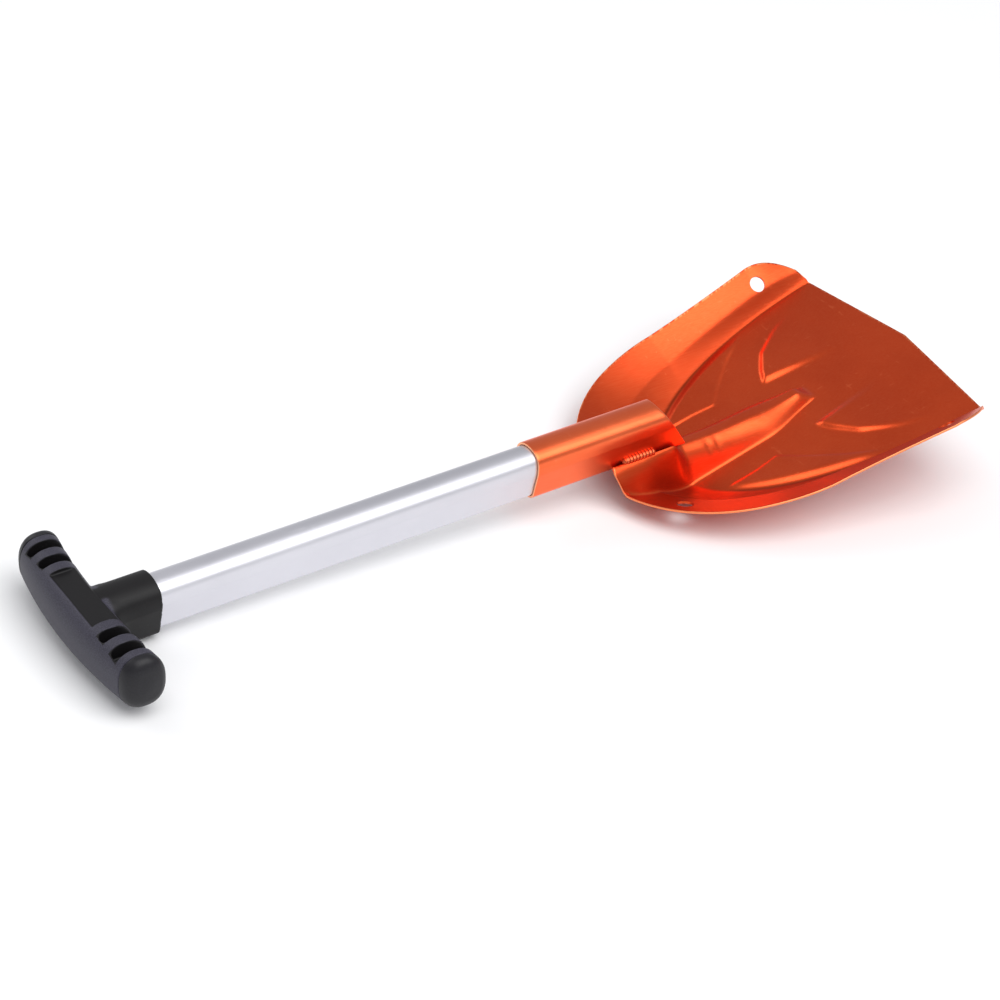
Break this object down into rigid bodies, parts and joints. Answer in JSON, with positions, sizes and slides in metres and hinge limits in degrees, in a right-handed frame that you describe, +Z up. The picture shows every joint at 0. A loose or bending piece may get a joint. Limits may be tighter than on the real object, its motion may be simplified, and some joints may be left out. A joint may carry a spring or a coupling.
{
  "type": "avalanche shovel",
  "caption": "Snow rescue shovel: pressed scoop blade with a welded socket, an egg-section shaft that a snap clip locks in, and a bowed T grip.",
  "frame": {"origin": "middle of the shovel's footprint on the ground, laid scoop up on the blade and the heel of the grip", "axes": "+X along the shovel from grip to blade, +Y to its left, +Z up"},
  "size_m": [0.6734, 0.231, 0.0738],
  "materials": {
    "blade_anodised": "satin orange anodised pressed sheet",
    "socket_anodised": "satin orange anodised tube",
    "weld_bead": "rippled weld bead, anodised orange",
    "shaft_anodised": "satin silver anodised tube",
    "spring_steel": "polished spring steel",
    "grip_nylon": "fine-textured black nylon",
    "cap_nylon": "smooth-moulded black nylon",
    "screw_steel": "zinc-plated steel"
  },
  "bodies": {
    "blade": {"blade": "blade_anodised", "socket": "socket_anodised", "weld_left": "weld_bead", "weld_right": "weld_bead"},
    "shaft": {"shaft": "shaft_anodised", "grip_body": "grip_nylon", "grip_cap_left": "cap_nylon", "grip_cap_right": "cap_nylon", "grip_screw": "screw_steel"},
    "clip": {"snap_clip": "spring_steel"}
  },
  "joints": [
    {"name": "shaft_pull", "type": "slide", "parent": "blade", "child": "shaft", "axis": [-0.998, 0, -0.0629], "range_m": [0, 0.08]},
    {"name": "button_press", "type": "slide", "parent": "shaft", "child": "clip", "axis": [-0.0629, 0, 0.998], "range_m": [0, 0.005], "stiffness_N_per_m": 4000, "deforming": ["snap_clip"]}
  ]
}
